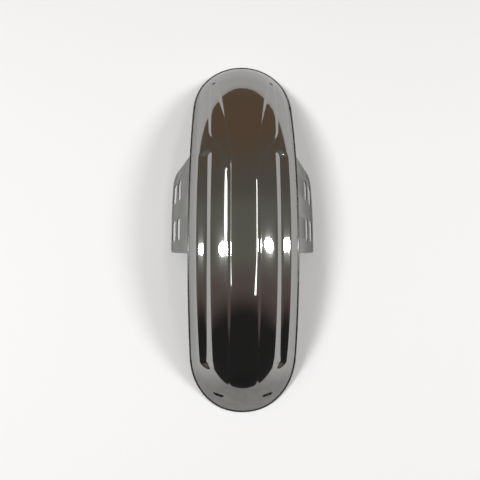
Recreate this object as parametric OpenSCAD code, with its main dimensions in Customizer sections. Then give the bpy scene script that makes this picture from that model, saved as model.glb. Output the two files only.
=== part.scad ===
// Motorcycle front mudguard: a pressed chrome shell with two welded fork ears.
// X runs forward, Y to the left, Z up. The guard stands on its own edge, the crown on top.
// Lengths are in mm. "Along" is measured on the crown arc from the top of the guard,
// forward positive, and "across" is measured sideways from the centre plane.

/* [Shell] */
// radius of the crown line about the wheel axle
crown_radius = 312; // [300:1:330]
// distance along the crown from its top to either end
half_arc = 247; // [235:1:257]
// half of the width between the two side edges
half_width = 58.4; // [56:0.2:62]
// how far the side edges lie below the crown line
rim_depth = 36; // [33:0.5:40]
// radius of the domed cross-section on the crown
section_radius = 69; // [62:0.5:76]
// height of the side skirts, from their edge up to the dome
skirt_height = 16; // [15:0.5:19]
// angle of the side skirts from the upright
skirt_angle = 28; // [24:0.5:32]
// softness of the bend between dome and skirt
skirt_bend = 1; // [0.6:0.1:1.6]
// sheet thickness
wall = 1.5; // [1.2:0.1:1.8]
// radius of the rolled edge
edge_radius = 1.2; // [1:0.1:1.8]

/* [Ends] */
// length along the crown over which the front end is rounded off
front_length = 106; // [95:1:118]
// squareness of the rounded front end, 2 being an ellipse
front_power = 3.8; // [3:0.1:4.5]
// length along the crown over which the rear end is rounded off
rear_length = 80; // [72:1:92]
// squareness of the rounded rear end
rear_power = 2.9; // [2.4:0.1:3.8]
// drop of the edge at each tip below the crown line
tip_drop = 13; // [10:0.5:18]
// length along the crown over which the ends droop
droop_length = 130; // [110:1:145]
// how late the droop sets in
droop_power = 1.7; // [1.4:0.1:2.2]

/* [Raised band] */
// height of the raised band along the crown
band_rise = 1.6; // [0.8:0.1:2.4]
// half width of the top of the band
band_half = 13.2; // [11:0.2:16]
// width of the step on each side of the band
band_step = 3.6; // [2.6:0.1:5]
// share of the height that the inner step takes where the step parts in two
band_share = 0.55; // [0.3:0.05:0.7]
// distance from the side edges to the top of the band where it meets the nose
nose_half = 29.4; // [28:0.2:34]
// where the top of the band starts to spread
spread_start = 77; // [60:1:90]
// where the top of the band is as wide as the nose
spread_end = 177; // [160:1:190]
// where the outer step parts from the inner one and flares
flare_start = 42; // [30:1:50]
// where the outer step has flared out
flare_end = 101; // [90:1:120]
// distance from the side edges to the foot of the flared step
flare_half = 20.4; // [19:0.2:24]
// where the band begins to fade out, along the crown both ways
band_fade = 165; // [150:1:175]

/* [Side grooves] */
// distance from the side edges to the middle of each groove
groove_across = 19.5; // [18:0.1:20.5]
// width of each groove
groove_width = 13; // [11:0.2:14]
// depth of each groove
groove_depth = 3; // [1.5:0.1:4]
// width of the slope on each side of a groove
groove_slope = 6.5; // [4:0.1:6.5]
// front end of the grooves along the crown
groove_front = 75; // [60:1:85]
// rear end of the grooves along the crown
groove_rear = 176; // [160:1:185]

/* [Holes] */
// diameter of the two holes at the front end
hole_diameter = 5; // [4:0.1:6.5]
// place of the front holes along the crown
hole_along = 194.2; // [185:0.2:205]
// distance of the front holes from the centre plane
hole_across = 34.8; // [30:0.2:40]
// length of the two flap slots at the rear end
slot_length = 14; // [11:0.5:16]
// width of the flap slots
slot_width = 6.4; // [4:0.1:7.5]
// place of the flap slots along the crown
slot_along = 216.5; // [205:0.5:221]
// distance of the flap slots from the centre plane
slot_across = 27.2; // [22:0.2:32]
// turn of the flap slots out of square, towards the line of the end
slot_turn = 18; // [0:1:30]

/* [Fork ears] */
// thickness of the ears
ear_thickness = 1.2; // [1:0.1:2]
// slope distance from the middle of the lower slots to the bottom of the ears
ear_foot = 8.3; // [7:0.1:10]
// how far the ears reach up inside the skirts
ear_overlap = 13.5; // [8:0.5:14]
// rear edge of the ears, in degrees ahead of the top of the guard
ear_rear = -7.7; // [-12:0.1:-6]
// front edge of the ears, in degrees ahead of the top of the guard
ear_front = 16.7; // [15:0.1:22]
// corner radius at the bottom of the front edge
ear_front_corner = 12; // [4:0.5:14]
// corner radius of the other three corners
ear_corner = 3.5; // [2:0.5:5]
// gap left between an ear and the skirt it is welded to
weld_gap = 0.15; // [0.1:0.05:0.3]
// length of the mounting slots
bolt_slot_length = 26; // [18:0.5:30]
// width of the mounting slots
bolt_slot_width = 10; // [8:0.1:11]
// slope distance from the shell edge to the upper slots
upper_slots = 37; // [33:0.1:40]
// slope distance between upper and lower slots
slot_rows = 14.7; // [13:0.1:16]
// middle of the slot pattern, in degrees ahead of the top of the guard
slots_middle = 4.2; // [3.5:0.1:5.5]
// spacing of the slots round the axle, in degrees
slots_pitch = 11.2; // [10:0.1:12]

/* [Hidden] */
$fn = 64;

front_straight = half_arc - front_length;
rear_straight = half_arc - rear_length;
skirt_top = half_width - skirt_height * tan(skirt_angle);
dome_drop = rim_depth - skirt_height;
fade_length = 50;
groove_middle = half_width - groove_across;
groove_in = groove_middle - groove_width / 2;
groove_out = groove_middle + groove_width / 2;
nose_top = half_width - nose_half;
flare_foot = half_width - flare_half;
bend_start = max(groove_out + 0.9, skirt_top - 1.6);
bend_end = bend_start + 3.6;
shell_cut = 6 * wall;
ear_cut = 9 * ear_thickness;
ear_drop = upper_slots + slot_rows + ear_foot;
probe = 0.25;

chrome = [0.80, 0.81, 0.82];
ear_steel = [0.62, 0.63, 0.64];

// helpers
function ease(x) = let (u = max(0, min(1, x))) u * u * (3 - 2 * u);
function ramp(x) = max(0, min(1, x));
function soft_max(a, b, k) = (a + b + sqrt((a - b) * (a - b) + k * k)) / 2;
function unit(v) = v / norm(v);
function steps(a, b, n) = [for (i = [0 : n - 1]) a + (b - a) * i / n];

// The dome is a conic section: it has the section radius on the crown and meets the skirts
// at their top. Beyond them it runs on straight, less steep than the skirts.
dome_shape = (2 * section_radius * dome_drop - skirt_top * skirt_top) / (dome_drop * dome_drop);
dome_slope = min(
    skirt_top / max(skirt_top * skirt_top / dome_drop - section_radius, 0.001),
    0.8 / tan(skirt_angle));
function dome(y) = let (
    t = min(y, skirt_top),
    root = sqrt(max(0, section_radius * section_radius - dome_shape * t * t))
) t * t / (section_radius + root) + max(0, y - skirt_top) * dome_slope;

// depth of the plain cross-section below the crown line
function section_drop(y) =
    soft_max(dome(y), rim_depth - (half_width - y) / tan(skirt_angle), skirt_bend);

// half widths of the raised band: its top, and the foot of its outer step
function band_top(s) =
    band_half + (nose_top - band_half) * ramp((s - spread_start) / (spread_end - spread_start));
function band_foot(s) = band_half + band_step
    + (flare_foot - band_half - band_step) * ease((s - flare_start) / (flare_end - flare_start))
    + 0.03 * max(0, s - flare_end);

// The step of the band is two steps in one. Towards the front they part: the inner one
// follows the top, the outer one the foot.
function band_height(s, y) = band_rise
    * (band_share * (1 - ease((y - band_top(s)) / band_step))
        + (1 - band_share) * (1 - ease((y - band_foot(s)) / band_step + 1)))
    * (1 - ease((abs(s) - band_fade) / fade_length));

// distance from the middle line of a groove, whose two ends are half round
function groove_reach(s, y) = let (
    front = groove_front - groove_width / 2,
    rear = -groove_rear + groove_width / 2,
    past = s > front ? s - front : s < rear ? rear - s : 0
) sqrt((y - groove_middle) * (y - groove_middle) + past * past);
function groove_sink(s, y) = groove_depth
    * (1 - ease((groove_reach(s, y) - groove_width / 2 + groove_slope) / groove_slope));

// where the outline ends along the crown, at a distance y from the centre plane
function end_curve(y, power) = let (e = min(1, y / half_width))
    pow(max(0, 1 - pow(e, power)), 1 / power);
function edge_along(s, y) = s > 0
    ? front_straight + front_length * end_curve(y, front_power)
    : rear_straight + rear_length * end_curve(y, rear_power);

// extra depth that brings the rounded ends down to their edge
function edge_depth(y) = let (e = min(1, y / half_width))
    tip_drop + (rim_depth - tip_drop) * e * e - section_drop(min(y, half_width));
function droop(s, y) = let (start = half_arc - droop_length, a = abs(s))
    a <= start ? 0
    : edge_depth(y) * pow((a - start) / (edge_along(s, y) - start), droop_power);

// a point of the outer skin, its outward normal and the skin moved inwards
function skin(s, y) = let (
    a = abs(y),
    r = crown_radius - section_drop(a) - droop(s, a) + band_height(s, a) - groove_sink(s, a),
    th = s / crown_radius * 180 / PI
) [r * sin(th), y, r * cos(th)];
function skin_normal(s, y) = unit(cross(
    skin(s + probe, y) - skin(s - probe, y),
    skin(s, y + probe) - skin(s, y - probe)));

// stations along the guard: where each ray starts on the centre line and ends on the outline
function end_ray(q, turn, begin, length, power) = let (
    p = 90 * (1 - pow(turn, 1.3)),
    k = pow(pow(cos(p), power) + pow(sin(p), power), -1 / power)
) [q * (begin + 0.28 * length * k * cos(p)),
   q * (begin + length * k * cos(p)),
   half_width * k * sin(p)];
rear_steps = 12;
front_steps = 13;
side_stations = concat(
    steps(-rear_straight, -rear_straight + 12, 2),
    steps(-rear_straight + 12, flare_start - 7, 12),
    steps(flare_start - 7, groove_front - 8, 4),
    steps(groove_front - 8, groove_front + 2, 4),
    steps(groove_front + 2, front_straight, 6));
stations = concat(
    [for (i = [rear_steps : -1 : 1])
        end_ray(-1, i / rear_steps, rear_straight, rear_length, rear_power)],
    [for (s = side_stations) [s, s, half_width]],
    [for (i = [0 : front_steps])
        end_ray(1, i / front_steps, front_straight, front_length, front_power)]);
last_station = len(stations) - 1;
rays = 2 * last_station;

// lines that run with the band, the grooves and the skirt, as distances from the centre plane
function guide_lines(s) = let (
    top = band_top(s),
    foot = band_foot(s),
    reach = min(band_step, (foot - top) / 2),
    inner = max(groove_in, foot + 1.5)
) concat(
    steps(0, top, 2),
    steps(top, top + reach, 2),
    [top + reach],
    steps(foot - reach, foot, 2),
    steps(foot, inner, 2),
    [for (f = [0, 0.12, 0.25, 0.42, 0.58, 0.75, 0.88]) inner + (groove_out - inner) * f],
    [groove_out],
    steps(bend_start, bend_end, 3),
    steps(bend_end, half_width, 2),
    [half_width]);
across_steps = len(guide_lines(0)) - 1;

function station_of(m) = m <= last_station ? m : rays - m;
function side_of(m) = m <= last_station ? 1 : -1;
function place(m, j) = let (
    st = stations[station_of(m)],
    g = guide_lines(st[0])[j] / half_width
) [st[0] + g * (st[1] - st[0]), side_of(m) * g * st[2]];
places = [for (m = [0 : rays - 1]) [for (j = [0 : across_steps]) place(m, j)]];
outer = [for (m = [0 : rays - 1]) [for (p = places[m]) skin(p[0], p[1])]];
normals = [for (m = [0 : rays - 1]) [for (p = places[m]) skin_normal(p[0], p[1])]];

// the rolled edge, a bead outside the skirt and flush with its inner face
roll_steps = 5;
roll_start = -acos((wall - edge_radius) / edge_radius);
function roll_point(m, k) = let (
    o = outer[m][across_steps],
    n = normals[m][across_steps],
    before = outer[(m + rays - 1) % rays][across_steps],
    after = outer[(m + 1) % rays][across_steps],
    b = unit(cross(n, after - before)),
    a = roll_start + (180 - roll_start) * k / roll_steps
) o + edge_radius * ((cos(a) - cos(roll_start)) * n + (sin(a) - sin(roll_start)) * b);
roll = [for (m = [0 : rays - 1]) [for (k = [1 : roll_steps]) roll_point(m, k)]];

// all points of the shell: outer skin, inner skin, rolled edge
ring = across_steps;
outer_points = [for (m = [0 : rays - 1]) for (j = [1 : ring]) outer[m][j]];
inner_points = [for (m = [0 : rays - 1]) for (j = [1 : ring])
    j == ring ? roll[m][roll_steps - 1] : outer[m][j] - wall * normals[m][j]];
outer_spine = [for (i = [0 : last_station]) outer[i][0]];
inner_spine = [for (i = [0 : last_station]) outer[i][0] - wall * normals[i][0]];
roll_points = [for (m = [0 : rays - 1]) for (k = [0 : roll_steps - 2]) roll[m][k]];
layer = rays * ring;
function outer_id(m, j) = j == 0 ? 2 * layer + station_of(m % rays) : (m % rays) * ring + j - 1;
function inner_id(m, j) = j == 0
    ? 2 * layer + last_station + 1 + station_of(m % rays)
    : layer + (m % rays) * ring + j - 1;
roll_base = 2 * layer + 2 * (last_station + 1);
function roll_id(m, k) = k == 0 ? outer_id(m, ring)
    : k == roll_steps ? inner_id(m, ring)
    : roll_base + (m % rays) * (roll_steps - 1) + k - 1;
function two(a, b, c, d) = [[a, b, c], [a, c, d]];
shell_faces = concat(
    [for (m = [0 : rays - 1]) for (j = [0 : ring - 1])
        each two(outer_id(m, j), outer_id(m, j + 1), outer_id(m + 1, j + 1), outer_id(m + 1, j))],
    [for (m = [0 : rays - 1]) for (j = [0 : ring - 1])
        each two(inner_id(m, j), inner_id(m + 1, j), inner_id(m + 1, j + 1), inner_id(m, j + 1))],
    [for (m = [0 : rays - 1]) for (k = [0 : roll_steps - 1])
        each two(roll_id(m, k), roll_id(m, k + 1), roll_id(m + 1, k + 1), roll_id(m + 1, k))]);
shell_points = concat(outer_points, inner_points, outer_spine, inner_spine, roll_points);

// the guard stands on the lowest point of its edge
floor_level = min([for (p = roll_points) p[2]]);

// puts its children on the outer skin, Z along the normal and Y nearly sideways
module on_skin(s, y) {
    n = skin_normal(s, y);
    turn = atan2(n[1], n[0]);
    translate(skin(s, y))
        rotate([0, acos(n[2]), turn])
            rotate([0, 0, -turn])
                children();
}

module long_hole(length, width, depth) {
    run = length - width;
    cube([run, width, depth], center = true);
    for (side = [-1, 1])
        translate([side * run / 2, 0, 0])
            cylinder(d = width, h = depth, center = true);
}

module shell() {
    color(chrome)
        translate([0, 0, -floor_level])
            difference() {
                polyhedron(points = shell_points, faces = shell_faces, convexity = 8);
                for (side = [-1, 1]) {
                    on_skin(hole_along, side * hole_across)
                        cylinder(d = hole_diameter, h = shell_cut, center = true);
                    on_skin(-slot_along, side * slot_across)
                        rotate([0, 0, 90 - side * slot_turn])
                            long_hole(slot_length, slot_width, shell_cut);
                }
            }
}

// the ears follow the inner face of the skirt, so they are turned about the axle
edge_line_radius = crown_radius - rim_depth;
ear_face_across = half_width - (wall + weld_gap) / cos(skirt_angle);
function ear_radius(d) = edge_line_radius - d * cos(skirt_angle);
function ear_across(d) = ear_face_across + d * sin(skirt_angle);

// puts its children on the outer face of the right ear: Z along its normal, Y up its slope
module on_ear(angle, d) {
    rotate([0, angle, 0])
        translate([0, -ear_across(d), ear_radius(d)])
            rotate([90 - skirt_angle, 0, 0])
                children();
}

// takes off one corner of the ear, rounded to radius r
module ear_corner_cut(angle, d, r, front, low) {
    centre_d = d - low * r;
    centre_angle = angle - front * asin(r / ear_radius(centre_d));
    on_ear(centre_angle, centre_d)
        difference() {
            translate([front > 0 ? 0 : -r - 2, low > 0 ? -r - 2 : 0, -ear_cut / 2])
                cube([r + 2, r + 2, ear_cut]);
            cylinder(r = r, h = ear_cut + 2, center = true);
        }
}

module ear_plate() {
    inward = [-ear_thickness * sin(skirt_angle), -ear_thickness * cos(skirt_angle)];
    top = [ear_radius(-ear_overlap), ear_across(-ear_overlap)];
    foot = [ear_radius(ear_drop), ear_across(ear_drop)];
    difference() {
        rotate([90, 0, 0])
            rotate([0, 0, 90 - ear_front])
                rotate_extrude(angle = ear_front - ear_rear, $fn = 180)
                    polygon([top, foot, foot + inward, top + inward]);
        for (side = [-1, 1])
            for (row = [0, 1])
                on_ear(slots_middle + side * slots_pitch / 2, upper_slots + row * slot_rows)
                    long_hole(bolt_slot_length, bolt_slot_width, ear_cut);
        ear_corner_cut(ear_front, ear_drop, ear_front_corner, 1, 1);
        ear_corner_cut(ear_rear, ear_drop, ear_corner, -1, 1);
        ear_corner_cut(ear_front, -ear_overlap, ear_corner, 1, -1);
        ear_corner_cut(ear_rear, -ear_overlap, ear_corner, -1, -1);
    }
}

module ear_right() {
    color(ear_steel)
        translate([0, 0, -floor_level])
            ear_plate();
}

module ear_left() {
    color(ear_steel)
        translate([0, 0, -floor_level])
            mirror([0, 1, 0])
                ear_plate();
}

shell();
ear_left();
ear_right();
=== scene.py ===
"""Studio scene of a chromed motorcycle front mudguard.

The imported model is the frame. The pressed shell and its two fork ears are remodelled here
with smooth skins and crisp edges, dressed in chrome, and lit above a pale floor. The shell
and the ears are sized in millimetres and degrees, and become metres when a mesh is written.
The studio is sized in metres and degrees.
"""
import logging
import math
from collections.abc import Iterable
from dataclasses import dataclass
from enum import Enum

import bmesh
import bpy
import numpy as np
from mathutils import Matrix, Vector


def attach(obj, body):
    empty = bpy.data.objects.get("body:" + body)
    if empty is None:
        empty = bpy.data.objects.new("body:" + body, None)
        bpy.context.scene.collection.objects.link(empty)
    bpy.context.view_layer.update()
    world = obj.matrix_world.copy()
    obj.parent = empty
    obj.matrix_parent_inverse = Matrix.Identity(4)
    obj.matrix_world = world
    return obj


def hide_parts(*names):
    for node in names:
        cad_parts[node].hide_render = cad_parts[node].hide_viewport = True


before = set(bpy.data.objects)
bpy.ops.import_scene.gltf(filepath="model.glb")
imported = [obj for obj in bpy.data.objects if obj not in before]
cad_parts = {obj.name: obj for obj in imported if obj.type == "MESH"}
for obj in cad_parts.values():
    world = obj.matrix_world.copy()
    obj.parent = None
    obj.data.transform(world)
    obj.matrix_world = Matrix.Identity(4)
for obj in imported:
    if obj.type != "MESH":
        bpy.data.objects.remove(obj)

log = logging.getLogger("mudguard")
MM = 0.001
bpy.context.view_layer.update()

# Points of one mesh that are nearer than this, in metres, are one point.
SAME_POINT = 1e-7
# The same for points where the two skins and the rolled edge meet.
SEAM_REACH = 2e-6
# Keeps a divisor or a place off zero.
TINY = 1e-6
# Half the length, in millimetres, over which the slope of the skin is measured.
PROBE = 0.25
# Sides of a cutter for a hole or a slot, and of one for a rounded corner.
HOLE_SIDES = 48
CORNER_SIDES = 96


def linear(hex_colour: str) -> tuple[float, float, float, float]:
    """Turns an sRGB hex colour into linear RGBA, by the curve of the sRGB standard.

    Args:
        hex_colour: The colour as "#rrggbb".

    Returns:
        The colour in linear light with an alpha of one.
    """
    parts = [int(hex_colour[i : i + 2], 16) / 255 for i in (1, 3, 5)]
    lin = [c / 12.92 if c <= 0.04045 else ((c + 0.055) / 1.055) ** 2.4 for c in parts]
    return (lin[0], lin[1], lin[2], 1.0)


def new_tree(holder: bpy.types.Material | bpy.types.World) -> bpy.types.NodeTree:
    """Gives a material or a world an empty node tree.

    Args:
        holder: The material or the world.

    Returns:
        Its node tree, with nothing in it.
    """
    holder.use_nodes = True
    holder.node_tree.nodes.clear()
    return holder.node_tree


def add_node(
    tree: bpy.types.NodeTree, kind: str, links: dict | None = None, **settings: object
) -> bpy.types.Node:
    """Adds a node with its settings and links.

    Args:
        tree: The node tree that gets the node.
        kind: The node's type name.
        links: Input name or number to a value or to an output socket.
        settings: Properties of the node itself.

    Returns:
        The new node.
    """
    node = tree.nodes.new(kind)
    for name, value in settings.items():
        setattr(node, name, value)
    for name, value in (links or {}).items():
        if isinstance(value, bpy.types.NodeSocket):
            tree.links.new(value, node.inputs[name])
        else:
            node.inputs[name].default_value = value
    return node


def deselect() -> None:
    """Leaves object mode with nothing selected."""
    if bpy.context.object is not None and bpy.context.object.mode != "OBJECT":
        bpy.ops.object.mode_set(mode="OBJECT")
    bpy.ops.object.select_all(action="DESELECT")


def make_active(obj: bpy.types.Object) -> None:
    """Selects one object and makes it the active one.

    Args:
        obj: The object.
    """
    deselect()
    obj.select_set(True)
    bpy.context.view_layer.objects.active = obj


def settle(obj: bpy.types.Object) -> None:
    """Applies the object's place, turn and size to its mesh."""
    make_active(obj)
    bpy.ops.object.transform_apply(location=True, rotation=True, scale=True)


def merge_points(reach: float, outwards: bool) -> None:
    """Merges points of the active mesh that lie together.

    Args:
        reach: Points nearer than this, in metres, are one point.
        outwards: Whether the faces are then turned outwards.
    """
    bpy.ops.object.mode_set(mode="EDIT")
    bpy.ops.mesh.select_all(action="SELECT")
    bpy.ops.mesh.remove_doubles(threshold=reach)
    if outwards:
        bpy.ops.mesh.normals_make_consistent(inside=False)
    bpy.ops.object.mode_set(mode="OBJECT")


def use_modifier(obj: bpy.types.Object, kind: str, **settings: object) -> None:
    """Adds one modifier to a piece and applies it.

    Args:
        obj: The piece.
        kind: The modifier's type.
        settings: Properties of the modifier.
    """
    make_active(obj)
    modifier = obj.modifiers.new(kind.title(), kind)
    for name, value in settings.items():
        setattr(modifier, name, value)
    bpy.ops.object.modifier_apply(modifier=modifier.name)


def cut(obj: bpy.types.Object, cutters: Iterable[bpy.types.Object]) -> None:
    """Cuts each cutter out of the piece and removes the cutter.

    Args:
        obj: The piece.
        cutters: The solids that are taken out of it.
    """
    for cutter in cutters:
        use_modifier(obj, "BOOLEAN", operation="DIFFERENCE", solver="EXACT", object=cutter)
        bpy.data.objects.remove(cutter, do_unlink=True)


def long_hole(length: float, width: float, depth: float) -> bpy.types.Object:
    """Models a cutter for a slot with round ends.

    Args:
        length: Overall length along X, in millimetres.
        width: Width along Y, in millimetres.
        depth: Depth along Z, in millimetres.

    Returns:
        The cutter at the origin.
    """
    deselect()
    bpy.ops.mesh.primitive_cylinder_add(
        vertices=HOLE_SIDES, radius=width / 2 * MM, depth=depth * MM
    )
    obj = bpy.context.object
    bpy.ops.object.mode_set(mode="EDIT")
    for side in (1, -1):
        mesh = bmesh.from_edit_mesh(obj.data)
        for vert in mesh.verts:
            vert.select = side * vert.co.x > TINY
        mesh.select_flush(True)
        bmesh.update_edit_mesh(obj.data)
        bpy.ops.transform.translate(value=(side * (length - width) / 2 * MM, 0, 0))
    bpy.ops.object.mode_set(mode="OBJECT")
    return obj


@dataclass(frozen=True)
class ChromePlate:
    """Bright chrome plate on pressed mild steel.

    Attributes:
        name: The material's name.
        colour: Reflected colour of the plate.
        roughness: Roughness of the polished face.
        haze: Extra roughness where the polish is thin.
        wipe_mm: Width of the patches of haze.
        wipe_range: Noise values between which the haze sets in.
        ripple_mm: Width of the faint ripples that pressing leaves under the plate.
        ripple_deep_mm: Height that the bump gives these ripples at full strength.
        ripple: Strength of the ripples.
        rim_tint: Reflected share where the plate is seen edge-on.
        film: Weight of the thin film of wax and dust over the plate.
        film_roughness: Roughness of this film.
        shade_mask: Attribute that marks where shade is painted into the plate, or nothing.
        shade_colour: Darker colour painted where the mask is full: painted shade.
        shade_roughness: Roughness where the mask is full.
        patch_mm: Length of the patches in which the painted shade varies.
        patch_range: Noise values between which such a patch fades.
        patch_share: Share of the painted shade between the patches and in them.
        shade_rough_range: Painted shade between which the plate also turns rough.
    """

    name: str
    colour: str = "#a3a3a1"
    roughness: float = 0.035
    haze: float = 0.06
    wipe_mm: float = 25.0
    wipe_range: tuple[float, float] = (0.42, 0.8)
    ripple_mm: float = 38.0
    ripple_deep_mm: float = 4.0
    ripple: float = 0.05
    rim_tint: float = 0.6
    film: float = 0.3
    film_roughness: float = 0.24
    # Painted shade: where the mask is set, the plate's colour is darkened towards the shade
    # colour.
    shade_mask: str = ""
    shade_colour: str = "#5a5855"
    shade_roughness: float = 0.5
    patch_mm: float = 9.0
    patch_range: tuple[float, float] = (0.35, 0.6)
    patch_share: tuple[float, float] = (0.85, 1.0)
    shade_rough_range: tuple[float, float] = (0.75, 0.95)

    def make(self) -> bpy.types.Material:
        """Builds the material.

        Returns:
            The plate with its ripples, its haze and, where it has a mask, its painted shade.
        """
        # Chromium over polished nickel mirrors like dark glass: a cool grey, deeper than
        # silver, that shows every lamp sharply and lets all the rest go dark.
        mat = bpy.data.materials.new(self.name)
        tree = new_tree(mat)
        place = add_node(tree, "ShaderNodeTexCoord").outputs["Object"]
        # Pressing leaves broad, shallow ripples, so straight reflections waver a little.
        ripple = add_node(
            tree, "ShaderNodeTexNoise",
            {"Vector": place, "Scale": 1 / (self.ripple_mm * MM), "Detail": 1.0, "Roughness": 0.4},
        )
        bump = add_node(
            tree, "ShaderNodeBump",
            {"Height": ripple.outputs["Fac"], "Strength": self.ripple,
             "Distance": self.ripple_deep_mm * MM},
        )
        # Wiping leaves patches of faint haze, which soften the rims of the reflections.
        wipe = add_node(
            tree, "ShaderNodeTexNoise",
            {"Vector": place, "Scale": 1 / (self.wipe_mm * MM), "Detail": 5.0, "Roughness": 0.6},
        )
        rough = add_node(
            tree, "ShaderNodeMapRange",
            {"Value": wipe.outputs["Fac"],
             "From Min": self.wipe_range[0], "From Max": self.wipe_range[1],
             "To Min": self.roughness, "To Max": self.roughness + self.haze},
        )
        # The film of wax and dust lays a pale, blurred glow over the sharp mirror below it.
        shader = add_node(
            tree, "ShaderNodeBsdfPrincipled",
            {"Base Color": linear(self.colour), "Metallic": 1.0,
             "Specular Tint": (self.rim_tint, self.rim_tint, self.rim_tint, 1.0),
             "Coat Weight": self.film, "Coat Roughness": self.film_roughness,
             "Roughness": rough.outputs["Result"], "Normal": bump.outputs["Normal"]},
        )
        # Where the plate has a mask, shade is painted into its colour.
        if self.shade_mask:
            self.paint_shade(tree, place, rough, shader)
        add_node(tree, "ShaderNodeOutputMaterial", {"Surface": shader.outputs["BSDF"]})
        return mat

    def paint_shade(
        self,
        tree: bpy.types.NodeTree,
        place: bpy.types.NodeSocket,
        rough: bpy.types.Node,
        shader: bpy.types.Node,
    ) -> None:
        """Paints shade into the plate's colour where the mask says so.

        Shade is painted at the rolled edge, standing in for the shade in the gap under it, and at
        the ends, standing in for their darker reflections. Both go grey in small patches, and the
        edge, where the mask is full, also turns rough.

        Args:
            tree: The material's node tree.
            place: Socket with the object's coordinates.
            rough: Node that gives the roughness of the bright plate.
            shader: Node that takes the colour and the roughness.
        """
        mask = add_node(tree, "ShaderNodeAttribute", attribute_name=self.shade_mask).outputs["Fac"]
        patch = add_node(
            tree, "ShaderNodeTexNoise",
            {"Vector": place, "Scale": 1 / (self.patch_mm * MM), "Detail": 3.0},
        )
        share = add_node(
            tree, "ShaderNodeMapRange",
            {"Value": patch.outputs["Fac"],
             "From Min": self.patch_range[0], "From Max": self.patch_range[1],
             "To Min": self.patch_share[0], "To Max": self.patch_share[1]},
        )
        shade_amount = add_node(
            tree, "ShaderNodeMath", {0: mask, 1: share.outputs["Result"]}, operation="MULTIPLY"
        ).outputs["Value"]
        # Painted shade: the plate's colour is mixed towards the darker shade colour by the mask.
        # A Mix node keeps sockets for each kind of data: numbers are 2 and 3, and come out
        # at 0; colours are 6 and 7, and come out at 2.
        colour = add_node(
            tree, "ShaderNodeMix",
            {0: shade_amount, 6: linear(self.colour), 7: linear(self.shade_colour)}, data_type="RGBA",
        )
        roughening = add_node(
            tree, "ShaderNodeMapRange",
            {"Value": shade_amount, "From Min": self.shade_rough_range[0], "From Max": self.shade_rough_range[1]},
        )
        rougher = add_node(
            tree, "ShaderNodeMix",
            {0: roughening.outputs["Result"], 2: rough.outputs["Result"], 3: self.shade_roughness},
            data_type="FLOAT",
        )
        tree.links.new(colour.outputs[2], shader.inputs["Base Color"])
        tree.links.new(rougher.outputs[0], shader.inputs["Roughness"])


@dataclass(frozen=True)
class StudioPaper:
    """Matt pale paper of the studio floor.

    Attributes:
        name: The material's name.
        colour: Colour of the paper.
        roughness: Roughness of its face.
        gloss: Level of its weak gloss.
    """

    name: str = "pale_studio_paper"
    colour: str = "#f7f8fa"
    roughness: float = 0.9
    gloss: float = 0.2

    def make(self) -> bpy.types.Material:
        """Builds the material.

        Returns:
            The paper.
        """
        # Uncoated paper scatters light evenly: a pale ground with a soft shadow, no shine.
        mat = bpy.data.materials.new(self.name)
        tree = new_tree(mat)
        shader = add_node(
            tree, "ShaderNodeBsdfPrincipled",
            {"Base Color": linear(self.colour), "Roughness": self.roughness,
             "Specular IOR Level": self.gloss},
        )
        add_node(tree, "ShaderNodeOutputMaterial", {"Surface": shader.outputs["BSDF"]})
        return mat


def dress(obj: bpy.types.Object, finish: ChromePlate, crease: float) -> None:
    """Smooths a finished piece and gives it its material.

    Args:
        obj: The piece.
        finish: The finish that covers it.
        crease: Faces that meet at more than this many degrees keep a sharp edge.
    """
    make_active(obj)
    bpy.ops.object.shade_smooth_by_angle(angle=math.radians(crease))
    obj.data.materials.clear()
    obj.data.materials.append(finish.make())


def ease(x: np.ndarray) -> np.ndarray:
    """Smooth step from 0 to 1."""
    u = np.clip(x, 0, 1)
    return u * u * (3 - 2 * u)


def soft_max(a: np.ndarray | float, b: np.ndarray | float, bend: float) -> np.ndarray:
    """The greater of two values, with a rounded change from one to the other."""
    return (a + b + np.sqrt((a - b) ** 2 + bend**2)) / 2


def soft_min(a: np.ndarray | float, b: np.ndarray | float, bend: float) -> np.ndarray:
    """The lesser of two values, with a rounded change from one to the other."""
    return (a + b - np.sqrt((a - b) ** 2 + bend**2)) / 2


def steps(a: float, b: float, n: int) -> list[float]:
    """Evenly spaced values from a up to, but without, b."""
    return [a + (b - a) * i / n for i in range(n)]


def edge_loop(last: int) -> list[tuple[int, int]]:
    """Goes round the guard's edge: forward on the left side, back on the right one.

    Args:
        last: Number of the last station.

    Returns:
        Station and line of each point of the edge.
    """
    return [(i, -1) for i in range(last)] + [(i, 0) for i in range(last, 0, -1)]


@dataclass(frozen=True)
class ShellGrid:
    """How finely the skins of the shell are divided.

    Attributes:
        end_rays: Rays across each rounded end.
        crowding: How much these rays crowd towards the sides; 1 spreads them evenly.
        ray_start: Where such a ray starts on the centre line, as a share of where it ends.
        side_rays: Rays across the part with straight sides.
        weld_zone: Half the length of the fine zone at a weld mark, and its rays.
        groove_zone: How far the fine zone at the front of the grooves lies behind their
            front end, half its length, and its rays.
        line_counts: Lines from each guide line to the next, from the middle outwards.
        step_lead: How far outside the band's foot the groove's lines begin.
        flank_lead: How far inside the end of the groove's flank the bend's lines begin.
        bend_lead: How far outside the skirt's bend those lines end.
        weld_lead: Half the width of the fine strip at the weld marks.
    """

    end_rays: int = 53
    crowding: float = 1.25
    ray_start: float = 0.28
    side_rays: int = 130
    weld_zone: tuple[float, int] = (2.4, 12)
    groove_zone: tuple[float, float, int] = (4.0, 6.0, 10)
    line_counts: tuple[int, ...] = (9, 7, 5, 7, 8, 18, 16, 3, 8, 4)
    step_lead: float = 1.5
    flank_lead: float = 1.2
    bend_lead: float = 2.2
    weld_lead: float = 1.0


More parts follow.
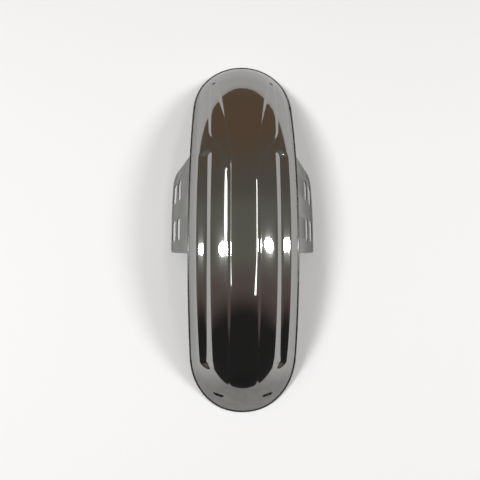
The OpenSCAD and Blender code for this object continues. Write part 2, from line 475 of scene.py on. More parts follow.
@dataclass
class GuardShell:
    """The pressed guard: dome, skirts, raised band, grooves, ends and rolled edge.

    Along is measured on the crown arc from its top, forward positive; across is
    measured sideways from the centre plane. The wheel axle is the arc's centre.

    Attributes:
        crown_radius: Distance from the wheel axle to the crown.
        half_arc: Half the length of the crown arc.
        half_width: Half the width over the side edges.
        rim_depth: Depth of the side edges below the crown.
        section_radius: Radius of the dome across the guard, at the crown.
        skirt_height: Height of the flat skirts.
        skirt_angle: Angle of the skirts from the upright.
        skirt_bend: Softness of the bend between dome and skirt.
        steepest_dome: Steepest slope of the dome, as a share of the skirt's.
        wall: Thickness of the sheet.
        edge_radius: Radius of the rolled edge.
        front_length: Length of the rounded front end.
        front_power: How square this end is; 2 makes it an ellipse.
        rear_length: Length of the rounded rear end.
        rear_power: How square this end is.
        tip_drop: Depth of the two tips below the crown arc.
        droop_length: Length over which each end bends down.
        droop_power: How late it bends down.
        band_rise: Height of the raised band.
        band_half: Half the width of the band's top.
        band_step: Width of each of the two steps at the side of the band.
        band_share: Share of the band's height that the inner step has.
        nose_half: Half the width of the band's top at the nose.
        spread_start: Where the band's top begins to spread.
        spread_end: Where it has spread.
        flare_start: Where the foot of the outer step begins to flare.
        flare_end: Where it has flared.
        flare_half: Distance from the centre plane to the foot after the flare.
        foot_spread: How much the foot still moves out from there, per length.
        band_fade: Where the band begins to fade in front.
        rear_fade: Where it begins to fade to the rear.
        band_end: Where it has faded.
        nose_rise: Share that the band gains in height over the flare.
        groove_across: Distance from the centre plane to the groove's deepest line.
        groove_width: Width of the groove's half-round ends.
        groove_depth: Depth of the grooves.
        flank_end: Distance from the centre plane to the top of the flat outer flank.
        flank_tilt: Angle of this flank from the level.
        flank_bend: Softness of the two edges of this flank.
        groove_front: Front end of the grooves.
        groove_rear: Rear end of the grooves, behind the crown's top.
        hole_diameter: Diameter of the two front holes.
        hole_along: Their place along.
        hole_across: Their distance from the centre plane.
        slot_length: Length of the two mud-flap slots.
        slot_width: Their width.
        slot_along: Their place along, behind the crown's top.
        slot_across: Their distance from the centre plane.
        slot_turn: How far they are turned from straight across.
        cutter_depth: Depth of the cutters for holes and slots.
        weld_across: Distance from the centre plane to the weld marks.
        weld_radius: Radius of a weld mark.
        weld_depth: Depth of a weld mark.
        weld_places: Places of the weld marks along.
        skirt_arc: Length on the skirt per length on the crown arc.
        skirt_run: Length down the skirt per distance across.
        roll_steps: Steps round the rolled edge.
        nose_shade: Strength of the shade painted at the front end.
        tail_shade: Strength of the shade painted at the rear end.
        shade_from: Distance from the middle at which the painted shade of the ends begins.
        shade_length: Length over which it sets in.
        crease: Faces that meet at more than this angle keep a sharp edge.
        floor_level: Height of the floor above the axle, known once the edge is laid.
        grid: How finely the skins are divided.
        finish: The plate on the shell.
    """

    crown_radius: float = 312.0
    half_arc: float = 247.0
    half_width: float = 58.4
    rim_depth: float = 36.0
    section_radius: float = 69.0
    skirt_height: float = 16.0
    skirt_angle: float = 28.0
    skirt_bend: float = 1.0
    steepest_dome: float = 0.8
    wall: float = 1.5
    edge_radius: float = 1.2
    front_length: float = 106.0
    front_power: float = 3.8
    rear_length: float = 80.0
    rear_power: float = 2.9
    tip_drop: float = 13.0
    droop_length: float = 130.0
    droop_power: float = 1.7
    band_rise: float = 1.6
    band_half: float = 13.2
    band_step: float = 3.6
    band_share: float = 0.55
    nose_half: float = 29.0
    spread_start: float = 77.0
    spread_end: float = 177.0
    flare_start: float = 42.0
    flare_end: float = 101.0
    flare_half: float = 38.0
    foot_spread: float = 0.03
    band_fade: float = 165.0
    rear_fade: float = 90.0
    band_end: float = 215.0
    nose_rise: float = 0.6
    groove_across: float = 38.9
    groove_width: float = 13.0
    groove_depth: float = 3.3
    flank_end: float = 47.5
    flank_tilt: float = 17.1
    flank_bend: float = 0.35
    groove_front: float = 75.0
    groove_rear: float = 176.0
    hole_diameter: float = 5.0
    hole_along: float = 194.2
    hole_across: float = 34.8
    slot_length: float = 14.0
    slot_width: float = 6.4
    slot_along: float = 216.5
    slot_across: float = 27.2
    slot_turn: float = 18.0
    cutter_depth: float = 10.0
    weld_across: float = 56.6
    weld_radius: float = 1.5
    weld_depth: float = 0.35
    weld_places: tuple[float, ...] = (82.0, 48.5, 14.6, -22.0)
    skirt_arc: float = 0.87
    skirt_run: float = 2.13
    roll_steps: int = 10
    # Painted shade at the two ends, darker at the rear than at the front.
    nose_shade: float = 0.22
    tail_shade: float = 0.72
    shade_from: float = 150.0
    shade_length: float = 35.0
    crease: float = 38.0
    floor_level: float = 0.0
    grid: ShellGrid = ShellGrid()
    # Shade is painted into this plate through the mask named here.
    finish: ChromePlate = ChromePlate("chrome_plated_pressed_steel", shade_mask="painted_shade")

    def end_shape(self, way: int) -> tuple[float, float, float]:
        """Where the front (1) or rear (-1) end begins, its length and its squareness."""
        length = self.front_length if way > 0 else self.rear_length
        return self.half_arc - length, length, self.front_power if way > 0 else self.rear_power

    def section_drop(self, y: np.ndarray) -> np.ndarray:
        """Works out the plain cross-section: a dome that turns into a flat skirt.

        Args:
            y: Distances from the centre plane.

        Returns:
            Depths below the crown.
        """
        slope = 1 / math.tan(math.radians(self.skirt_angle))
        top = self.half_width - self.skirt_height / slope
        deep = self.rim_depth - self.skirt_height
        shape = (2 * self.section_radius * deep - top * top) / deep**2
        t = np.minimum(y, top)
        root = np.sqrt(np.maximum(0, self.section_radius**2 - shape * t * t))
        dome = t * t / (self.section_radius + root)
        run_out = min(top / (top * top / deep - self.section_radius), self.steepest_dome * slope)
        dome = dome + np.maximum(0, y - top) * run_out
        skirt = self.rim_depth - (self.half_width - y) * slope
        return soft_max(dome, skirt, self.skirt_bend)

    def band_top(self, s: np.ndarray) -> np.ndarray:
        """Half width of the top of the raised band."""
        part = np.clip((s - self.spread_start) / (self.spread_end - self.spread_start), 0, 1)
        return self.band_half + (self.nose_half - self.band_half) * part

    def flare(self, s: np.ndarray) -> np.ndarray:
        """Share of the flare that is reached, from 0 behind it to 1 in front of it."""
        return ease((s - self.flare_start) / (self.flare_end - self.flare_start))

    def band_foot(self, s: np.ndarray) -> np.ndarray:
        """Distance from the centre plane to the foot of the band's outer step."""
        narrow, past = self.band_half + self.band_step, np.maximum(0, s - self.flare_end)
        return narrow + (self.flare_half - narrow) * self.flare(s) + self.foot_spread * past

    def band_height(self, s: np.ndarray, y: np.ndarray) -> np.ndarray:
        """Works out the raised band, which has two steps on each side.

        Args:
            s: Places along.
            y: Distances from the centre plane.

        Returns:
            Heights above the dome.
        """
        inner = 1 - ease((y - self.band_top(s)) / self.band_step)
        outer = 1 - ease((y - self.band_foot(s)) / self.band_step + 1)
        start = np.where(s > 0, self.band_fade, self.rear_fade)
        fade = 1 - ease((np.abs(s) - start) / (self.band_end - start))
        fade = fade * (1 + self.nose_rise * self.flare(s))
        return self.band_rise * (self.band_share * inner + (1 - self.band_share) * outer) * fade

    def groove_sink(self, s: np.ndarray, y: np.ndarray) -> np.ndarray:
        """Works out the side grooves: rounded inside, a flat flank outside, half-round ends.

        Args:
            s: Places along.
            y: Distances from the centre plane.

        Returns:
            Depths below the dome.
        """
        half, run = self.groove_width / 2, self.flank_end - self.groove_across
        front, rear = s - self.groove_front + half, -self.groove_rear + half - s
        past = np.maximum(np.maximum(front, rear), 0)
        aside = (y - self.groove_across) / np.where(y > self.groove_across, run, half)
        reach = np.hypot(aside, past / half)
        inner = self.groove_depth * (1 - ease(reach))
        place = np.minimum(self.groove_across + reach * run, self.half_width)
        top = self.section_drop(np.array(self.flank_end))
        tilt = math.tan(math.radians(self.flank_tilt))
        flat = top - tilt * (self.flank_end - place) - self.section_drop(place)
        flat = soft_max(flat, 0, self.flank_bend)
        outer = soft_min(self.groove_depth, flat, self.flank_bend)
        share = ease((aside / np.maximum(reach, TINY) + 1) / 2)
        return (1 - share) * inner + share * outer

    def droop(self, s: np.ndarray, y: np.ndarray) -> np.ndarray:
        """Works out how the rounded ends bend down to their edge.

        Args:
            s: Places along.
            y: Distances from the centre plane.

        Returns:
            Depths below the plain cross-section.
        """
        e = np.minimum(1, y / self.half_width)
        ends = [
            begin + length * np.maximum(0, 1 - e**power) ** (1 / power)
            for begin, length, power in map(self.end_shape, (1, -1))
        ]
        edge = np.where(s > 0, ends[0], ends[1])
        deep = self.tip_drop + (self.rim_depth - self.tip_drop) * e * e
        deep = deep - self.section_drop(np.minimum(y, self.half_width))
        start = self.half_arc - self.droop_length
        part = np.maximum(np.abs(s) - start, 0) / np.maximum(edge - start, TINY)
        return deep * part**self.droop_power

    def weld_dimples(self, s: np.ndarray, y: np.ndarray) -> np.ndarray:
        """Works out the small round marks that the spot welds leave on the skirts.

        Args:
            s: Places along.
            y: Distances from the centre plane.

        Returns:
            Depths square to the skirt.
        """
        depth = np.zeros_like(s)
        for place in self.weld_places:
            reach = np.hypot(
                (s - place) * self.skirt_arc, (y - self.weld_across) * self.skirt_run
            )
            depth = depth + self.weld_depth * (1 - ease(reach / self.weld_radius))
        return depth

    def skin(self, s: np.ndarray, y: np.ndarray, marks: bool = True) -> np.ndarray:
        """Works out the outer skin.

        Args:
            s: Places along.
            y: Places across, left positive.
            marks: Whether the weld marks are in it.

        Returns:
            Points in millimetres about the axle.
        """
        a = np.abs(y)
        r = self.crown_radius - self.section_drop(a) - self.droop(s, a)
        r = r + self.band_height(s, a) - self.groove_sink(s, a)
        if marks:
            r = r - self.weld_dimples(s, a) * self.skirt_run
        th = s / self.crown_radius
        return np.stack([r * np.sin(th), y, r * np.cos(th)], axis=-1)

    def skin_normal(self, s: np.ndarray, y: np.ndarray) -> np.ndarray:
        """Works out which way the outer skin faces.

        Args:
            s: Places along.
            y: Places across, left positive.

        Returns:
            Outward normals of length one.
        """
        along = self.skin(s + PROBE, y, False) - self.skin(s - PROBE, y, False)
        across = self.skin(s, y + PROBE, False) - self.skin(s, y - PROBE, False)
        n = np.cross(along, across)
        return n / np.linalg.norm(n, axis=-1, keepdims=True)

    def end_stations(self, way: int) -> list[tuple[float, float, float]]:
        """Fans out the rays across one rounded end, from its sides to its tip.

        Args:
            way: 1 for the front end, -1 for the rear one.

        Returns:
            For each ray, its start on the centre line and its end along and across.
        """
        begin, length, power = self.end_shape(way)
        rays = []
        for i in range(self.grid.end_rays + 1):
            p = math.radians(90 * (1 - (i / self.grid.end_rays) ** self.grid.crowding))
            c, d = max(math.cos(p), 0.0), math.sin(p)
            k = (c**power + d**power) ** (-1 / power)
            rays.append((
                way * (begin + self.grid.ray_start * length * k * c),
                way * (begin + length * k * c),
                self.half_width * k * d,
            ))
        return rays

    def stations(self) -> np.ndarray:
        """Lays out the rays across the whole guard, from the rear tip to the front tip.

        Returns:
            For each ray, its start on the centre line and its end along and across.
        """
        half, count = self.grid.weld_zone
        zones = [(place, half, count) for place in sorted(self.weld_places)]
        back, half, count = self.grid.groove_zone
        zones.append((self.groove_front - back, half, count))
        rear, front = -self.end_shape(-1)[0], self.end_shape(1)[0]
        sides = set(steps(rear, front, self.grid.side_rays))
        for centre, half, count in zones:
            sides = {s for s in sides if not centre - half < s < centre + half}
            sides |= set(steps(centre - half, centre + half, count)) | {centre + half}
        middle = [(s, s, self.half_width) for s in sorted(sides)]
        return np.array(self.end_stations(-1)[:0:-1] + middle + self.end_stations(1))

    def guide_lines(self, s: float) -> list[float]:
        """Lays out the lines that run with the band, the groove and the skirt.

        Args:
            s: Place along at which the ray starts.

        Returns:
            Distances from the centre plane, out to the side edge.
        """
        grid = self.grid
        top, foot = float(self.band_top(s)), float(self.band_foot(s))
        reach = min(self.band_step, (foot - top) / 2)
        inner = max(self.groove_across - self.groove_width / 2, foot + grid.step_lead)
        bend = self.half_width - self.skirt_height * math.tan(math.radians(self.skirt_angle))
        guides = [
            0, top, top + reach, foot - reach, foot, inner, self.flank_end - grid.flank_lead,
            bend + grid.bend_lead, self.weld_across - grid.weld_lead,
            self.weld_across + grid.weld_lead, self.half_width,
        ]
        lines = []
        for a, b, count in zip(guides, guides[1:], grid.line_counts):
            lines += steps(a, b, count)
        return lines + [self.half_width]

    def places(self) -> tuple[np.ndarray, np.ndarray]:
        """Lays out the grid of the skins, by station and by line.

        Returns:
            Along and across of every grid point, from the right edge to the left one.
        """
        stations = self.stations()
        lines = np.array([self.guide_lines(start) for start in stations[:, 0]]) / self.half_width
        share = np.concatenate([-lines[:, :0:-1], lines], axis=1)
        along = stations[:, :1] + np.abs(share) * (stations[:, 1:2] - stations[:, :1])
        across = share * stations[:, 2:3]
        return along, across

    def sheet(self, name: str, points: np.ndarray) -> bpy.types.Object:
        """Adds a grid and lays it over a table of points.

        Args:
            name: The object's name.
            points: Points in millimetres about the axle, by station and by line.

        Returns:
            The laid sheet, with its folded ends welded.
        """
        rows, cols = points.shape[:2]
        deselect()
        bpy.ops.mesh.primitive_grid_add(x_subdivisions=rows - 1, y_subdivisions=cols - 1, size=2)
        obj = bpy.context.object
        obj.name = obj.data.name = name
        flat = np.empty(len(obj.data.vertices) * 3)
        obj.data.vertices.foreach_get("co", flat)
        flat = flat.reshape(-1, 3)
        i = np.rint((flat[:, 0] + 1) / 2 * (rows - 1)).astype(int)
        j = np.rint((flat[:, 1] + 1) / 2 * (cols - 1)).astype(int)
        laid = (points[i, j] - np.array([0, 0, self.floor_level])) * MM
        obj.data.vertices.foreach_set("co", laid.ravel())
        obj.data.update()
        merge_points(SAME_POINT, outwards=False)
        return obj

    def rolled_edge(self, along: np.ndarray, across: np.ndarray) -> np.ndarray:
        """Works out the rolled edge, which runs all the way round the guard.

        Args:
            along: Along of every grid point.
            across: Across of every grid point.

        Returns:
            Rings of points in millimetres, from the outer skin round to the inner one.
        """
        loop = edge_loop(len(along) - 1)
        s = np.array([along[place] for place in loop])
        y = np.array([across[place] for place in loop])
        edge, n = self.skin(s, y, False), self.skin_normal(s, y)
        run = np.roll(edge, -1, axis=0) - np.roll(edge, 1, axis=0)
        b = np.cross(n, run)
        b /= np.linalg.norm(b, axis=1, keepdims=True)
        start = -math.acos((self.wall - self.edge_radius) / self.edge_radius)
        rings = []
        for k in range(self.roll_steps + 1):
            a = start + (math.pi - start) * k / self.roll_steps
            up, out = math.cos(a) - math.cos(start), math.sin(a) - math.sin(start)
            rings.append(edge + self.edge_radius * (up * n + out * b))
        return np.array(rings)

    def edge_tube(self, rings: np.ndarray) -> bpy.types.Object:
        """Models the rolled edge by extruding one loop of edges ring by ring.

        Args:
            rings: Rings of points in millimetres about the axle.

        Returns:
            The open tube.
        """
        deselect()
        bpy.ops.mesh.primitive_circle_add(vertices=rings.shape[1], radius=1.0)
        obj = bpy.context.object
        obj.name = obj.data.name = "shell_rolled_edge"
        level = np.array([0, 0, self.floor_level])
        bpy.ops.object.mode_set(mode="EDIT")
        mesh = bmesh.from_edit_mesh(obj.data)
        mesh.verts.ensure_lookup_table()
        ring = list(mesh.verts)
        for vert, co in zip(ring, (rings[0] - level) * MM):
            vert.co = co
        for points in rings[1:]:
            bpy.ops.mesh.select_all(action="DESELECT")
            for vert in ring:
                vert.select = True
            mesh.select_flush(True)
            bmesh.update_edit_mesh(obj.data)
            before = {vert.index for vert in mesh.verts}
            bpy.ops.mesh.extrude_edges_move()
            mesh = bmesh.from_edit_mesh(obj.data)
            mesh.verts.index_update()
            mesh.verts.ensure_lookup_table()
            grown = {}
            for vert in [v for v in mesh.verts if v.index not in before]:
                ends = (edge.other_vert(vert).index for edge in vert.link_edges)
                grown[next(index for index in ends if index in before)] = vert
            ring = [grown[vert.index] for vert in ring]
            for vert, co in zip(ring, (points - level) * MM):
                vert.co = co
        bmesh.update_edit_mesh(obj.data)
        bpy.ops.object.mode_set(mode="OBJECT")
        return obj

    def mark_painted_shade(self, part: bpy.types.Object, edge: float) -> None:
        """Marks where shade is painted into the plate: on the rolled edge, and less so at both
        ends.

        Args:
            part: A part of the shell.
            edge: Painted shade that the whole part has at least.
        """
        # Painted shade: full on the rolled edge, rising towards both ends of the skins.
        mask = part.data.attributes.new(self.finish.shade_mask, "FLOAT", "POINT")
        along = np.array([v.co.x / MM for v in part.data.vertices])
        ends = ease((np.abs(along) - self.shade_from) / self.shade_length)
        ends = ends * np.where(along > 0, self.nose_shade, self.tail_shade)
        mask.data.foreach_set("value", np.maximum(edge, ends))

    def on_skin(self, s: float, y: float) -> Matrix:
        """Works out a frame on the outer skin: Z along the normal, Y nearly sideways.

        Args:
            s: Place along.
            y: Place across, left positive.

        Returns:
            The frame in metres.
        """
        here = np.array([float(s)]), np.array([float(y)])
        origin = self.skin(*here, False)[0] - np.array([0, 0, self.floor_level])
        z = Vector(self.skin_normal(*here)[0])
        x = (Vector((1, 0, 0)) - z * z.x).normalized()
        turn = Matrix((x, z.cross(x), z)).transposed().to_4x4()
        return Matrix.Translation(Vector(origin) * MM) @ turn

    def cutters(self) -> list[bpy.types.Object]:
        """Models the solids that cut the two front holes and the two mud-flap slots.

        Returns:
            The cutters in their places.
        """
        made = []
        for side in (-1, 1):
            deselect()
            bpy.ops.mesh.primitive_cylinder_add(
                vertices=HOLE_SIDES,
                radius=self.hole_diameter / 2 * MM,
                depth=self.cutter_depth * MM,
            )
            hole = bpy.context.object
            hole.matrix_world = self.on_skin(self.hole_along, side * self.hole_across)
            slot = long_hole(self.slot_length, self.slot_width, self.cutter_depth)
            turn = Matrix.Rotation(math.radians(90 - side * self.slot_turn), 4, "Z")
            slot.matrix_world = self.on_skin(-self.slot_along, side * self.slot_across) @ turn
            made += [hole, slot]
        return made

    def build(self) -> bpy.types.Object:
        """Models the shell: two skins joined by the rolled edge, then the cut-outs.

        Returns:
            The finished shell.
        """
        along, across = self.places()
        outer = self.skin(along, across)
        inner = self.skin(along, across, False) - self.wall * self.skin_normal(along, across)
        rings = self.rolled_edge(along, across)
        last = len(along) - 1
        for place, point in zip(edge_loop(last), rings[-1]):
            inner[place] = point
        inner[0, 0], inner[last, -1] = inner[0, -1], inner[last, 0]
        self.floor_level = float(rings[..., 2].min())
        skin = self.sheet("shell_skin", outer)
        lining = self.sheet("shell_lining", inner)
        tube = self.edge_tube(rings)
        # The rolled edge gets full painted shade; the skins get painted shade only at their ends.
        for part, edge in ((skin, 0.0), (lining, 0.0), (tube, 1.0)):
            self.mark_painted_shade(part, edge)
        deselect()
        for part in (skin, lining, tube):
            part.select_set(True)
        bpy.context.view_layer.objects.active = skin
        bpy.ops.object.join()
        merge_points(SEAM_REACH, outwards=True)
        skin.name = skin.data.name = "guard_shell"
        cut(skin, self.cutters())
        dress(skin, self.finish, self.crease)
        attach(skin, "root")
        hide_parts("shell")
        return skin


class Side(Enum):
    """Which side of the guard an ear is on."""

    LEFT = 1
    RIGHT = -1


@dataclass
class ForkEar:
    """A sheet turned about the axle, seated inside the skirt, with four slots.

    Down is measured on the sheet's outer face from the shell's side edge; angles are
    measured about the axle from the upright, forward positive.

    Attributes:
        side: The side of the guard that it is on.
        shell: The shell that carries it.
        thickness: Thickness of the sheet.
        drop: How far it reaches below the shell's edge.
        overlap: How far it reaches up inside the skirt.
        rear: Angle of its rear edge.
        front: Angle of its front edge.
        front_corner: Radius of its lower front corner.
        corner: Radius of its other corners.
        weld_gap: Gap between the sheet and the skirt, which the weld fills.
        slot_length: Length of a slot.
        slot_width: Width of a slot.
        upper_slots: How far down the upper slots are.
        slot_rows: Distance from the upper slots to the lower ones.
        slots_middle: Angle halfway between the front and the rear slots.
        slots_pitch: Angle between them.
        slot_cut: Depth of the cutters for the slots.
        edge_break: Width of the broken edges.
        bevel_above: Edges of a greater angle than this are broken.
        spin_steps: Steps of the turn about the axle.
        corner_block: Thickness of the block that cuts a corner.
        corner_plug: Height of the plug that takes the round corner out of this block.
        corner_spare: How far the block reaches past the round corner's middle and radius.
        crease: Faces that meet at more than this angle keep a sharp edge.
        finish: The plate on the ear.
    """

    side: Side
    shell: GuardShell
    thickness: float = 1.2
    drop: float = 60.0
    overlap: float = 13.5
    rear: float = -7.7
    front: float = 16.7
    front_corner: float = 12.0
    corner: float = 3.5
    weld_gap: float = 0.15
    slot_length: float = 26.0
    slot_width: float = 10.0
    upper_slots: float = 37.0
    slot_rows: float = 14.7
    slots_middle: float = 4.2
    slots_pitch: float = 11.2
    slot_cut: float = 14.0
    edge_break: float = 0.35
    bevel_above: float = 50.0
    spin_steps: int = 72
    corner_block: float = 18.0
    corner_plug: float = 30.0
    corner_spare: float = 2.0
    crease: float = 35.0
    finish: ChromePlate = ChromePlate(
        "bright_plated_steel_sheet", colour="#949592", roughness=0.09, haze=0.08,
        ripple_mm=22.0, ripple=0.06,
    )

    @property
    def slope(self) -> float:
        """Angle of the ear from the upright, in radians."""
        return math.radians(self.shell.skirt_angle)

    def radius_at(self, d: float) -> float:
        """Distance from the axle, d down the outer face."""
        return self.shell.crown_radius - self.shell.rim_depth - d * math.cos(self.slope)

    def across_at(self, d: float) -> float:
        """Distance from the centre plane, d down the outer face."""
        gap = (self.shell.wall + self.weld_gap) / math.cos(self.slope)
        return self.shell.half_width - gap + d * math.sin(self.slope)

    def axes(self, angle: float) -> tuple[Vector, Vector, Vector]:
        """Works out the directions at an angle about the axle.

        Args:
            angle: The angle in degrees.

        Returns:
            Away from the axle, sideways from the centre plane, and square to the outer face.
        """
        t = math.radians(angle)
        radial = Vector((math.sin(t), 0, math.cos(t)))
        out = Vector((0, self.side.value, 0))
        return radial, out, out * math.cos(self.slope) + radial * math.sin(self.slope)

    def on_ear(self, angle: float, d: float) -> Matrix:
        """Works out a frame on the outer face: Z square to it, Y up the slope, X along it.

        Args:
            angle: The angle about the axle.
            d: The distance down the face.

        Returns:
            The frame in metres. Its X points back on the left ear and forward on the right.
        """
        radial, out, normal = self.axes(angle)
        level = Vector((0, 0, self.shell.floor_level))
        origin = radial * self.radius_at(d) + out * self.across_at(d) - level
        up = radial * math.cos(self.slope) - out * math.sin(self.slope)
        x = Vector((radial.z, 0, -radial.x)) * -self.side.value
        turn = Matrix((x, up, normal)).transposed().to_4x4()
        return Matrix.Translation(origin * MM) @ turn

    def blank(self) -> bpy.types.Object:
        """Spins the ear's cross-section about the axle.

        Returns:
            The uncut sheet.
        """
        deselect()
        bpy.ops.mesh.primitive_plane_add(size=1.0)
        obj = bpy.context.object
        obj.name = obj.data.name = f"fork_ear_{self.side.name.lower()}"
        radial, out, normal = self.axes(self.rear)
        level = Vector((0, 0, self.shell.floor_level))
        for vert in obj.data.vertices:
            d = -self.overlap if vert.co.x < 0 else self.drop
            inward = self.thickness if vert.co.y < 0 else 0.0
            point = radial * self.radius_at(d) + out * self.across_at(d) - normal * inward - level
            vert.co = point * MM
        bpy.ops.object.mode_set(mode="EDIT")
        bpy.ops.mesh.select_all(action="SELECT")
        bpy.ops.mesh.spin(
            steps=self.spin_steps, angle=-math.radians(self.front - self.rear),
            center=(0, 0, -self.shell.floor_level * MM), axis=(0, 1, 0),
        )
        merge_points(SAME_POINT, outwards=True)
        return obj

    def corner_cutter(
        self, angle: float, d: float, r: float, front: int, low: int
    ) -> bpy.types.Object:
        """Models the solid that takes off one corner of the sheet and leaves it round.

        Args:
            angle: Angle of the corner about the axle.
            d: How far down the corner is.
            r: Radius that the corner gets.
            front: 1 for a front corner, -1 for a rear one.
            low: 1 for a lower corner, -1 for an upper one.

        Returns:
            The cutter in its place.
        """
        centre_d = d - low * r
        centre_angle = angle - front * math.degrees(math.asin(r / self.radius_at(centre_d)))
        deselect()
        bpy.ops.mesh.primitive_cube_add(size=1.0)
        block = bpy.context.object
        size = (r + self.corner_spare) * MM
        ahead = front * -self.side.value
        for vert in block.data.vertices:
            x, y, z = vert.co
            vert.co = (
                (x + 0.5 * ahead) * size, (y - 0.5 * low) * size, z * self.corner_block * MM
            )
        bpy.ops.mesh.primitive_cylinder_add(
            vertices=CORNER_SIDES, radius=r * MM, depth=self.corner_plug * MM
        )
        cut(block, [bpy.context.object])
        block.matrix_world = self.on_ear(centre_angle, centre_d)
        return block

    def slot_cutters(self) -> list[bpy.types.Object]:
        """Models the solids that cut the four slots.

        Returns:
            The cutters in their places.
        """
        made = []
        for along in (-1, 1):
            for row in (0, 1):
                slot = long_hole(self.slot_length, self.slot_width, self.slot_cut)
                slot.matrix_world = self.on_ear(
                    self.slots_middle + along * self.slots_pitch / 2,
                    self.upper_slots + row * self.slot_rows,
                )
                made.append(slot)
        return made

    def build(self) -> bpy.types.Object:
        """Models the ear: sheet, slots, corners and broken edges.

        Returns:
            The finished ear.
        """
        ear = self.blank()
        cutters = self.slot_cutters()
        for angle, d, r, front, low in (
            (self.front, self.drop, self.front_corner, 1, 1),
            (self.rear, self.drop, self.corner, -1, 1),
            (self.front, -self.overlap, self.corner, 1, -1),
            (self.rear, -self.overlap, self.corner, -1, -1),
        ):
            cutters.append(self.corner_cutter(angle, d, r, front, low))
        cut(ear, cutters)
        use_modifier(
            ear, "BEVEL", width=self.edge_break * MM, segments=2,
            limit_method="ANGLE", angle_limit=math.radians(self.bevel_above),
        )
        dress(ear, self.finish, self.crease)
        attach(ear, "root")
        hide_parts(f"ear_{self.side.name.lower()}")
        return ear


class LampShape(Enum):
    """Outline of a soft lamp, by the name that the lamp's settings use."""

    STRIP = "RECTANGLE"
    OVAL = "ELLIPSE"


@dataclass(frozen=True)
class SoftLamp:
    """A soft lamp that faces the guard.

    Attributes:
        name: The lamp's name.
        shape: Its outline.
        lean: Angle from the upright at which it hangs, left positive.
        middle: Its place along the guard.
        size: Its length and width.
        watts: Its power.
        toe: Angle to the left by which its length is turned.
        aim: Height of the point that it faces.
        strip_rise: Height of a strip above this point.
        oval_reach: Distance of an oval from this point, seen from the front.
    """

    name: str
    shape: LampShape
    lean: float
    middle: float
    size: tuple[float, float]
    watts: float
    toe: float = 0.0
    aim: float = 0.1
    strip_rise: float = 1.7
    oval_reach: float = 1.9

    def centre(self) -> Vector:
        """Works out where the lamp hangs.

        Returns:
            The middle of the lamp: strips share one height, ovals one distance.
        """
        lean = math.radians(self.lean)
        if self.shape is LampShape.STRIP:
            aside, rise = self.strip_rise * math.tan(lean), self.strip_rise
        else:
            aside, rise = self.oval_reach * math.sin(lean), self.oval_reach * math.cos(lean)
        return Vector((self.middle, aside, self.aim + rise))

    def hang(self) -> None:
        """Hangs the lamp in the scene, with its face to the guard."""
        data = bpy.data.lights.new(self.name, "AREA")
        data.shape = self.shape.value
        data.size, data.size_y = self.size
        data.energy = self.watts
        obj = bpy.data.objects.new(self.name, data)
        bpy.context.scene.collection.objects.link(obj)
        centre, toe = self.centre(), math.radians(self.toe)
        back = (centre - Vector((0, 0, self.aim))).normalized()
        along = Vector((math.cos(toe), math.sin(toe), 0))
        x = (along - back * along.dot(back)).normalized()
        turn = Matrix((x, back.cross(x), back)).transposed().to_4x4()
        obj.matrix_world = Matrix.Translation(centre) @ turn


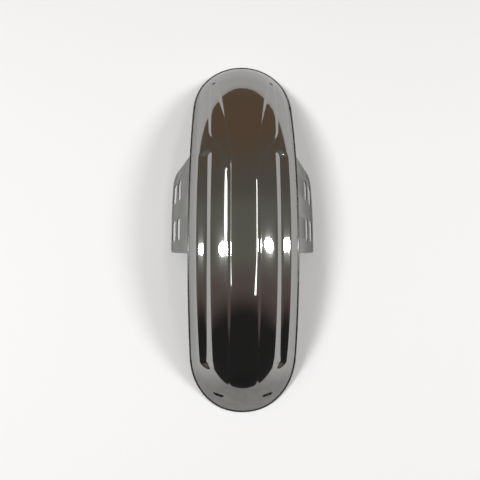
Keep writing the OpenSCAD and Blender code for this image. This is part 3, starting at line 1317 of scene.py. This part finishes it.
@dataclass
class Studio:
    """Floor, lamps, surroundings and camera.

    Attributes:
        floor_size: Length of the floor's sides.
        floor_middle: Place of its middle along the guard.
        lamps: A long strip over each side of the crown, and an oval box beside each groove.
        surround: Colours of the studio round the guard, from behind (0) to ahead (1).
        sensor: Width of the camera's sensor, in millimetres.
        image_side: Side of the square picture, in pixels.
        image_focal: Focal length, in pixels of this picture.
        clip: Nearest and farthest distance that the camera sees.
        eye: Place of the camera, in millimetres about the axle.
        turn: Turns of the camera about X, Y and Z from looking straight down, in radians.
        paper: The paper on the floor.
    """

    floor_size: float = 1.5
    floor_middle: float = 0.27
    lamps: tuple[SoftLamp, ...] = (
        SoftLamp("strip_left", LampShape.STRIP, 31.0, 0.20, (2.35, 0.21), 7.2, 4.2),
        SoftLamp("strip_right", LampShape.STRIP, -25.8, -0.02, (2.16, 0.11), 3.2, -5.0),
        SoftLamp("soft_box_left", LampShape.OVAL, 37.5, -0.20, (0.22, 0.46), 17.5),
        SoftLamp("soft_box_right", LampShape.OVAL, -46.3, -0.11, (0.20, 0.52), 15.0),
    )
    surround: tuple[tuple[float, str], ...] = (
        (0.17, "#333232"), (0.30, "#7a6b67"), (0.44, "#838278"),
        (0.60, "#828177"), (0.72, "#746e66"), (0.90, "#7d6754"),
    )
    sensor: float = 36.0
    image_side: int = 480
    image_focal: float = 415.0
    clip: tuple[float, float] = (0.01, 50.0)
    eye: tuple[float, float, float] = (-86.67, 11.04, 712.88)
    turn: tuple[float, float, float] = (0.0166, 0.1453, 0.0016)
    paper: StudioPaper = StudioPaper()

    def floor(self) -> None:
        """Lays the pale floor."""
        deselect()
        bpy.ops.mesh.primitive_plane_add(size=self.floor_size, location=(self.floor_middle, 0, 0))
        obj = bpy.context.object
        settle(obj)
        obj.name = obj.data.name = "studio_floor"
        obj.data.materials.append(self.paper.make())

    def surroundings(self) -> None:
        """Fills the studio with plain dim light: dark behind, grey above and brown ahead."""
        world = bpy.data.worlds.new("studio_surround")
        bpy.context.scene.world = world
        tree = new_tree(world)
        way = add_node(tree, "ShaderNodeTexCoord").outputs["Generated"]
        ahead = add_node(tree, "ShaderNodeSeparateXYZ", {"Vector": way}).outputs["X"]
        place = add_node(
            tree, "ShaderNodeMapRange", {"Value": ahead, "From Min": -1.0, "From Max": 1.0}
        )
        ramp = add_node(tree, "ShaderNodeValToRGB", {"Fac": place.outputs["Result"]})
        stops = ramp.color_ramp.elements
        ramp.color_ramp.interpolation = "EASE"
        while len(stops) < len(self.surround):
            stops.new(0.5)
        for stop, (where, colour) in zip(stops, self.surround):
            stop.position, stop.color = where, linear(colour)
        back = add_node(
            tree, "ShaderNodeBackground", {"Color": ramp.outputs["Color"], "Strength": 1.0}
        )
        add_node(tree, "ShaderNodeOutputWorld", {"Surface": back.outputs["Background"]})

    def camera(self, shell: GuardShell) -> None:
        """Places the camera that was fitted to the guard's outline.

        Args:
            shell: The shell, whose axle the camera's place is measured from.
        """
        a, b, g = self.turn
        rot = (
            Matrix.Rotation(g, 3, "Z") @ Matrix.Rotation(b, 3, "Y") @ Matrix.Rotation(a, 3, "X")
        )
        up, left, back = rot.row[0], rot.row[1], rot.row[2]
        axes = Matrix((-Vector(left), Vector(up), Vector(back))).transposed()
        eye = Vector(self.eye) - Vector((0, 0, shell.floor_level))
        data = bpy.data.cameras.new("studio_camera")
        data.sensor_width = self.sensor
        data.lens = self.sensor * self.image_focal / self.image_side
        data.clip_start, data.clip_end = self.clip
        obj = bpy.data.objects.new("studio_camera", data)
        bpy.context.scene.collection.objects.link(obj)
        obj.matrix_world = Matrix.Translation(eye * MM) @ axes.to_4x4()
        bpy.context.scene.camera = obj

    def build(self, shell: GuardShell) -> None:
        """Sets up the whole studio round the guard.

        Args:
            shell: The shell that the camera looks at.
        """
        self.floor()
        self.surroundings()
        for lamp in self.lamps:
            lamp.hang()
        self.camera(shell)
        bpy.context.scene.view_settings.view_transform = "Standard"


def main() -> None:
    """Builds the guard and the studio, and reports each piece."""
    logging.basicConfig(level=logging.INFO, format="%(name)s: %(message)s")
    shell = GuardShell()
    pieces = [shell.build()]
    for side in Side:
        pieces.append(ForkEar(side, shell).build())
    Studio().build(shell)
    for piece in pieces:
        log.info("%s: %d faces", piece.name, len(piece.data.polygons))
    deselect()


if __name__ == "__main__":
    main()
